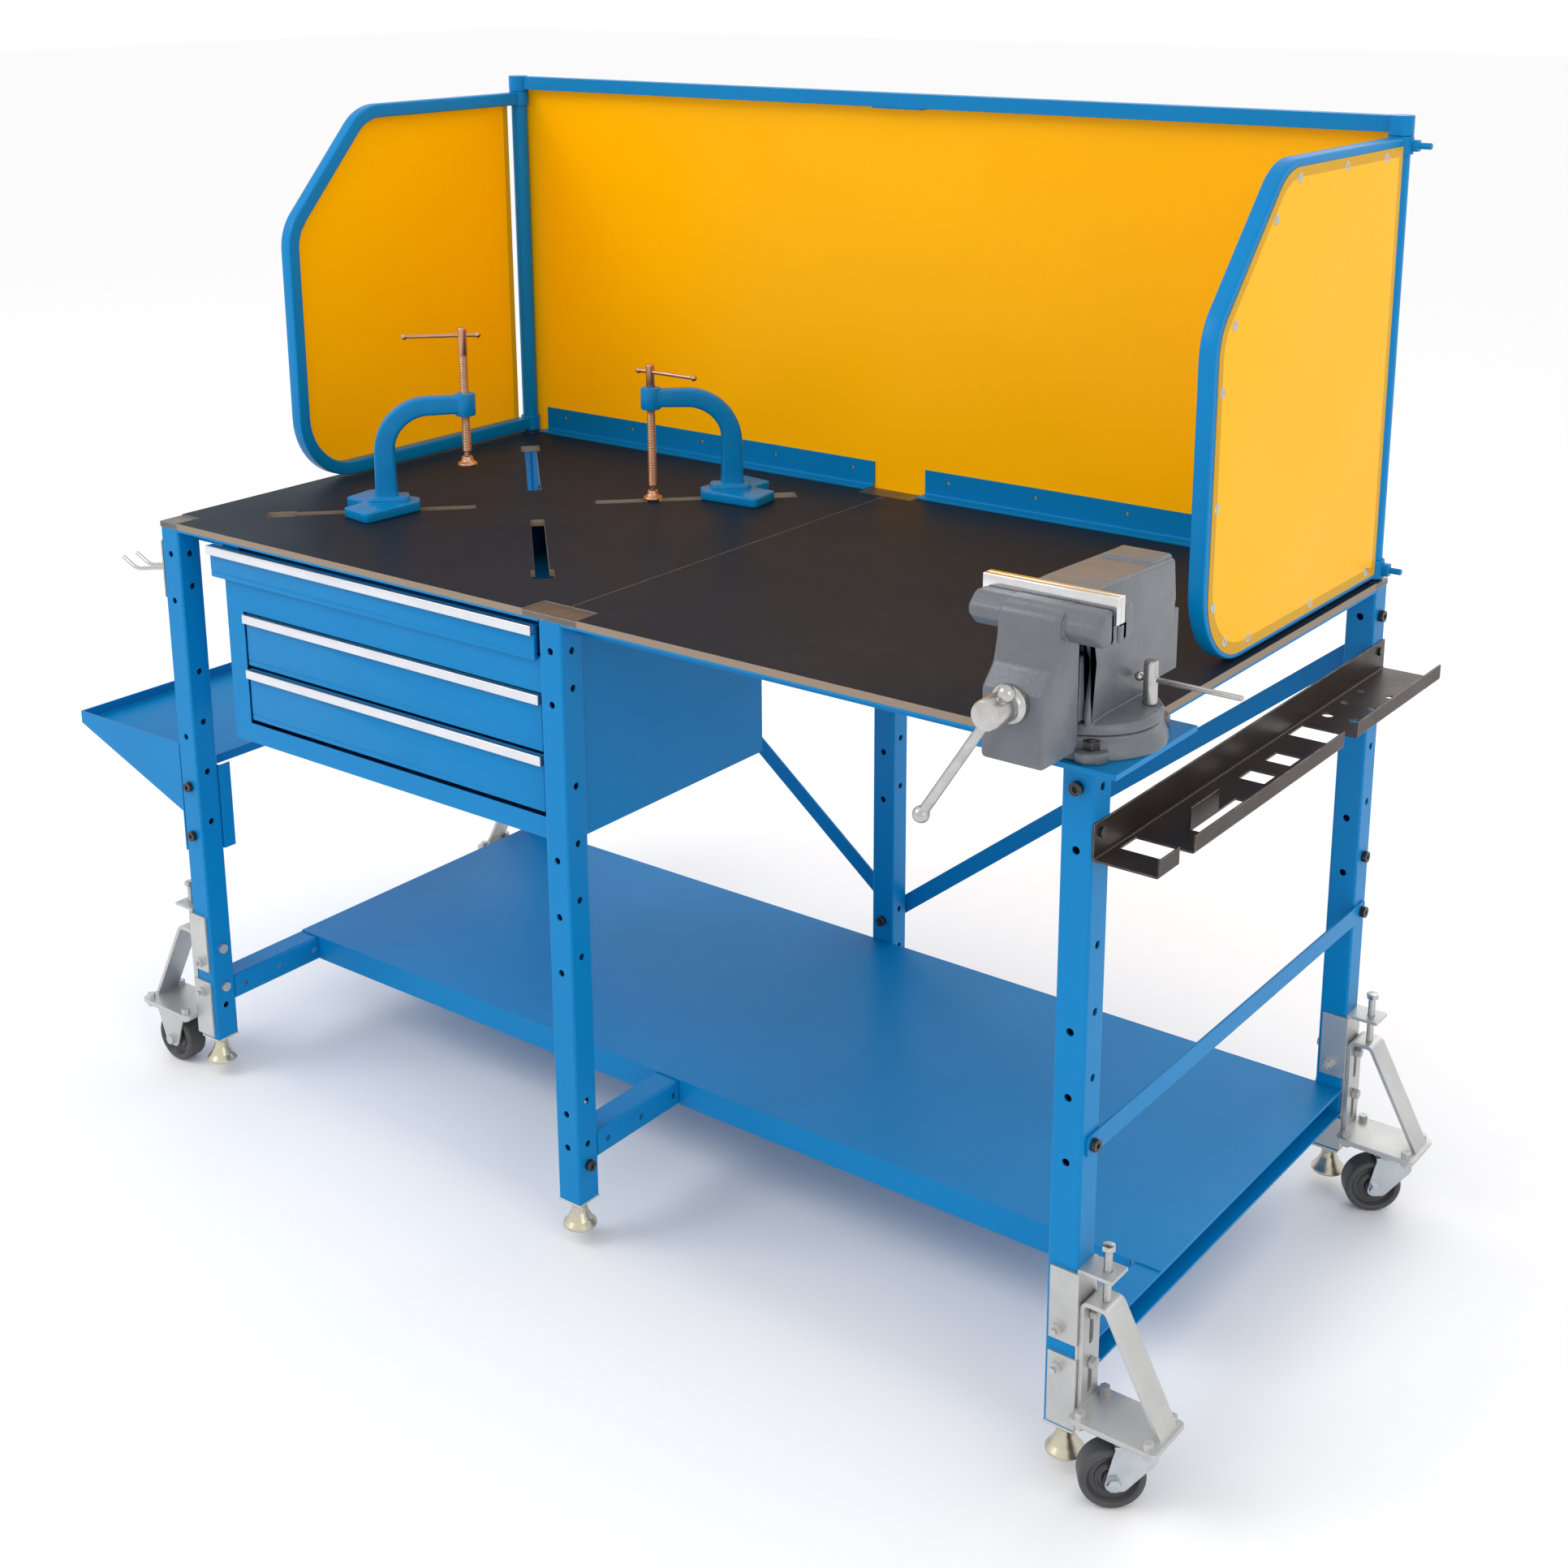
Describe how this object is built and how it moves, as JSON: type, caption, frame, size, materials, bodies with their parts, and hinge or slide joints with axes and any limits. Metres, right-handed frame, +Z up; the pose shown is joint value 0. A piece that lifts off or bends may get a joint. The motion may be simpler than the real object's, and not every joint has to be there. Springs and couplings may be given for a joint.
{
  "type": "welding workbench",
  "caption": "Steel welding workbench with slotted plate tables, drawers, weld screens, slot clamps, bench vise, torch rack, scrap tray and jacking casters.",
  "frame": {"origin": "on the floor, midway between the four corner legs", "axes": "+X along the bench towards its vise end; -Y towards the drawer side, where the welder stands; +Z up"},
  "size_m": [1.902, 0.962, 1.467],
  "materials": {
    "blue_paint": "textured powder coat, slightly glossy",
    "clamp_paint": "gloss enamel on cast iron",
    "mill_scale_steel": "dark mill scale with bright scuffs",
    "bare_steel": "milled, satin",
    "dark_paint": "satin",
    "screen_paint": "textured powder coat",
    "amber_film": "translucent glossy film",
    "zinc": "zinc plated, satin",
    "bright_steel": "bright, satin",
    "copper_steel": "copper plated thread",
    "vise_paint": "satin grey enamel",
    "wheel_tread": "hard dark tread"
  },
  "bodies": {
    "bench": {"front_legs": "blue_paint", "rear_legs": "blue_paint", "top_frame": "blue_paint", "left_table_plate": "mill_scale_steel", "right_table_plate": "mill_scale_steel", "leg_caps": "bare_steel", "lower_channels": "blue_paint", "lower_shelf": "blue_paint", "flat_braces": "blue_paint", "cabinet_shell": "blue_paint", "scrap_tray": "blue_paint", "cable_hooks": "blue_paint", "torch_rack": "dark_paint", "rear_screen_frame": "screen_paint", "rear_screen_film": "amber_film", "rear_foot_angles": "screen_paint", "caster_brackets": "zinc", "vise_mount_plate": "blue_paint", "frame_fasteners": "zinc", "vise_base": "vise_paint"},
    "top_drawer": {"top_drawer": "blue_paint"},
    "middle_drawer": {"middle_drawer": "blue_paint"},
    "bottom_drawer": {"bottom_drawer": "blue_paint"},
    "left_screen": {"left_screen_frame": "screen_paint", "left_screen_film": "amber_film"},
    "right_screen": {"right_screen_frame": "screen_paint", "right_screen_film": "amber_film"},
    "left_clamp": {"left_clamp_frame": "clamp_paint"},
    "left_clamp_shoe": {"left_clamp_shoe": "bright_steel"},
    "left_clamp_screw": {"left_clamp_screw": "copper_steel"},
    "left_clamp_bar": {"left_clamp_bar": "bright_steel"},
    "right_clamp": {"right_clamp_frame": "clamp_paint"},
    "right_clamp_shoe": {"right_clamp_shoe": "bright_steel"},
    "right_clamp_screw": {"right_clamp_screw": "copper_steel"},
    "right_clamp_bar": {"right_clamp_bar": "bright_steel"},
    "vise_body": {"vise_body": "vise_paint"},
    "vise_moving_jaw": {"vise_moving_jaw": "vise_paint"},
    "vise_spindle": {"vise_spindle": "bright_steel"},
    "vise_handle": {"vise_handle": "bright_steel"},
    "vise_lock_lever": {"vise_lock_lever": "bright_steel"},
    "front_left_carriage": {"front_left_carriage": "zinc"},
    "front_left_jack_bolt": {"front_left_jack_bolt": "bright_steel"},
    "front_left_wheel": {"front_left_wheel": "wheel_tread"},
    "front_right_carriage": {"front_right_carriage": "zinc"},
    "front_right_jack_bolt": {"front_right_jack_bolt": "bright_steel"},
    "front_right_wheel": {"front_right_wheel": "wheel_tread"},
    "front_right_swivel_fork": {"front_right_swivel_fork": "zinc"},
    "rear_left_carriage": {"rear_left_carriage": "zinc"},
    "rear_left_jack_bolt": {"rear_left_jack_bolt": "bright_steel"},
    "rear_left_wheel": {"rear_left_wheel": "wheel_tread"},
    "rear_right_carriage": {"rear_right_carriage": "zinc"},
    "rear_right_jack_bolt": {"rear_right_jack_bolt": "bright_steel"},
    "rear_right_wheel": {"rear_right_wheel": "wheel_tread"},
    "rear_right_swivel_fork": {"rear_right_swivel_fork": "zinc"},
    "front_left_foot": {"front_left_foot": "zinc"},
    "front_middle_foot": {"front_middle_foot": "zinc"},
    "front_right_foot": {"front_right_foot": "zinc"},
    "rear_left_foot": {"rear_left_foot": "zinc"},
    "rear_middle_foot": {"rear_middle_foot": "zinc"},
    "rear_right_foot": {"rear_right_foot": "zinc"}
  },
  "joints": [
    {"name": "top_drawer_slide", "type": "slide", "parent": "bench", "child": "top_drawer", "axis": [0, -1, 0], "range_m": [0, 0.35]},
    {"name": "middle_drawer_slide", "type": "slide", "parent": "bench", "child": "middle_drawer", "axis": [0, -1, 0], "range_m": [0, 0.35]},
    {"name": "bottom_drawer_slide", "type": "slide", "parent": "bench", "child": "bottom_drawer", "axis": [0, -1, 0], "range_m": [0, 0.35]},
    {"name": "left_screen_hinge", "type": "hinge", "parent": "bench", "child": "left_screen", "pos_m": [-0.745, 0.366, 1.16], "axis": [0, 0, 1], "range_deg": [-95, 10]},
    {"name": "right_screen_hinge", "type": "hinge", "parent": "bench", "child": "right_screen", "pos_m": [0.745, 0.366, 1.16], "axis": [0, 0, -1], "range_deg": [-50, 10]},
    {"name": "left_clamp_slide", "type": "slide", "parent": "bench", "child": "left_clamp", "axis": [-0.7071, -0.7071, 0], "range_m": [-0.05, 0.11]},
    {"name": "left_clamp_shoe_travel", "type": "slide", "parent": "left_clamp", "child": "left_clamp_shoe", "axis": [0, 0, -1], "range_m": [-0.045, 0.061]},
    {"name": "left_clamp_screw_turn", "type": "hinge", "parent": "left_clamp_shoe", "child": "left_clamp_screw", "pos_m": [-0.45288, -0.06788, 1.03], "axis": [0, 0, 1], "range_deg": [-8646.7, 6379]},
    {"name": "left_clamp_bar_slide", "type": "slide", "parent": "left_clamp_screw", "child": "left_clamp_bar", "axis": [-0.7071, -0.7071, 0], "range_m": [-0.064, 0.004]},
    {"name": "right_clamp_slide", "type": "slide", "parent": "bench", "child": "right_clamp", "axis": [0.7071, 0.7071, 0], "range_m": [-0.1, 0.05]},
    {"name": "right_clamp_shoe_travel", "type": "slide", "parent": "right_clamp", "child": "right_clamp_shoe", "axis": [0, 0, 1], "range_m": [0, 0.095]},
    {"name": "right_clamp_screw_turn", "type": "hinge", "parent": "right_clamp_shoe", "child": "right_clamp_screw", "pos_m": [-0.26338, 0.12162, 1.03], "axis": [0, 0, 1], "range_deg": [-1, 13465.6]},
    {"name": "right_clamp_bar_slide", "type": "slide", "parent": "right_clamp_screw", "child": "right_clamp_bar", "axis": [1, 0, 0], "range_m": [-0.064, 0.004]},
    {"name": "vise_swivel", "type": "hinge", "parent": "bench", "child": "vise_body", "pos_m": [0.745, -0.362, 0.9], "axis": [0, 0, 1], "range_deg": [-50, 90]},
    {"name": "vise_jaw_slide", "type": "slide", "parent": "vise_body", "child": "vise_moving_jaw", "axis": [0, -1, 0], "range_m": [0, 0.14]},
    {"name": "vise_spindle_turn", "type": "hinge", "parent": "vise_moving_jaw", "child": "vise_spindle", "pos_m": [0.745, -0.54, 0.966], "axis": [0, -1, 0], "range_deg": [-1, 9922.3]},
    {"name": "vise_handle_slide", "type": "slide", "parent": "vise_spindle", "child": "vise_handle", "axis": [0.5438, 0, 0.8392], "range_m": [0, 0.12]},
    {"name": "vise_lock_turn", "type": "hinge", "parent": "vise_body", "child": "vise_lock_lever", "pos_m": [0.8, -0.34, 0.94], "axis": [0, 0, 1], "range_deg": [-60, 60]},
    {"name": "front_left_carriage_slide", "type": "slide", "parent": "bench", "child": "front_left_carriage", "axis": [0, 0, 1], "range_m": [0, 0.022]},
    {"name": "front_left_jack_bolt_turn", "type": "hinge", "parent": "front_left_carriage", "child": "front_left_jack_bolt", "pos_m": [-0.789, -0.36195, 0.27], "axis": [0, 0, 1], "range_deg": [-1, 4990]},
    {"name": "front_left_wheel_roll", "type": "hinge", "parent": "front_left_carriage", "child": "front_left_wheel", "pos_m": [-0.83, -0.36795, 0.038], "axis": [0, 1, 0], "continuous": true},
    {"name": "front_right_carriage_slide", "type": "slide", "parent": "bench", "child": "front_right_carriage", "axis": [0, 0, 1], "range_m": [0, 0.022]},
    {"name": "front_right_jack_bolt_turn", "type": "hinge", "parent": "front_right_carriage", "child": "front_right_jack_bolt", "pos_m": [0.789, -0.36195, 0.27], "axis": [0, 0, 1], "range_deg": [-1, 4990]},
    {"name": "front_right_swivel", "type": "hinge", "parent": "front_right_carriage", "child": "front_right_swivel_fork", "pos_m": [0.83, -0.36795, 0.09], "axis": [0, 0, 1], "continuous": true},
    {"name": "front_right_wheel_roll", "type": "hinge", "parent": "front_right_swivel_fork", "child": "front_right_wheel", "pos_m": [0.81243, -0.38119, 0.038], "axis": [-0.6018, 0.7986, 0], "continuous": true},
    {"name": "rear_left_carriage_slide", "type": "slide", "parent": "bench", "child": "rear_left_carriage", "axis": [0, 0, 1], "range_m": [0, 0.022]},
    {"name": "rear_left_jack_bolt_turn", "type": "hinge", "parent": "rear_left_carriage", "child": "rear_left_jack_bolt", "pos_m": [-0.789, 0.36195, 0.27], "axis": [0, 0, 1], "range_deg": [-1, 4990]},
    {"name": "rear_left_wheel_roll", "type": "hinge", "parent": "rear_left_carriage", "child": "rear_left_wheel", "pos_m": [-0.83, 0.35595, 0.038], "axis": [0, 1, 0], "continuous": true},
    {"name": "rear_right_carriage_slide", "type": "slide", "parent": "bench", "child": "rear_right_carriage", "axis": [0, 0, 1], "range_m": [0, 0.022]},
    {"name": "rear_right_jack_bolt_turn", "type": "hinge", "parent": "rear_right_carriage", "child": "rear_right_jack_bolt", "pos_m": [0.789, 0.36195, 0.27], "axis": [0, 0, 1], "range_deg": [-1, 4990]},
    {"name": "rear_right_swivel", "type": "hinge", "parent": "rear_right_carriage", "child": "rear_right_swivel_fork", "pos_m": [0.83, 0.35595, 0.09], "axis": [0, 0, 1], "continuous": true},
    {"name": "rear_right_wheel_roll", "type": "hinge", "parent": "rear_right_swivel_fork", "child": "rear_right_wheel", "pos_m": [0.81243, 0.34271, 0.038], "axis": [-0.6018, 0.7986, 0], "continuous": true},
    {"name": "front_left_foot_travel", "type": "slide", "parent": "bench", "child": "front_left_foot", "axis": [0, 0, -1], "range_m": [0, 0.02]},
    {"name": "front_middle_foot_travel", "type": "slide", "parent": "bench", "child": "front_middle_foot", "axis": [0, 0, -1], "range_m": [0, 0.02]},
    {"name": "front_right_foot_travel", "type": "slide", "parent": "bench", "child": "front_right_foot", "axis": [0, 0, -1], "range_m": [0, 0.02]},
    {"name": "rear_left_foot_travel", "type": "slide", "parent": "bench", "child": "rear_left_foot", "axis": [0, 0, -1], "range_m": [0, 0.02]},
    {"name": "rear_middle_foot_travel", "type": "slide", "parent": "bench", "child": "rear_middle_foot", "axis": [0, 0, -1], "range_m": [0, 0.02]},
    {"name": "rear_right_foot_travel", "type": "slide", "parent": "bench", "child": "rear_right_foot", "axis": [0, 0, -1], "range_m": [0, 0.02]}
  ],
  "couplings": [
    {"joint": "left_clamp_screw_turn", "follows": "left_clamp_shoe_travel", "rad_per_m": -2473.7},
    {"joint": "right_clamp_screw_turn", "follows": "right_clamp_shoe_travel", "rad_per_m": 2473.7},
    {"joint": "vise_spindle_turn", "follows": "vise_jaw_slide", "rad_per_m": 1236.8},
    {"joint": "front_left_jack_bolt_turn", "follows": "front_left_carriage_slide", "rad_per_m": 3957.9},
    {"joint": "front_right_jack_bolt_turn", "follows": "front_right_carriage_slide", "rad_per_m": 3957.9},
    {"joint": "rear_left_jack_bolt_turn", "follows": "rear_left_carriage_slide", "rad_per_m": 3957.9},
    {"joint": "rear_right_jack_bolt_turn", "follows": "rear_right_carriage_slide", "rad_per_m": 3957.9}
  ]
}
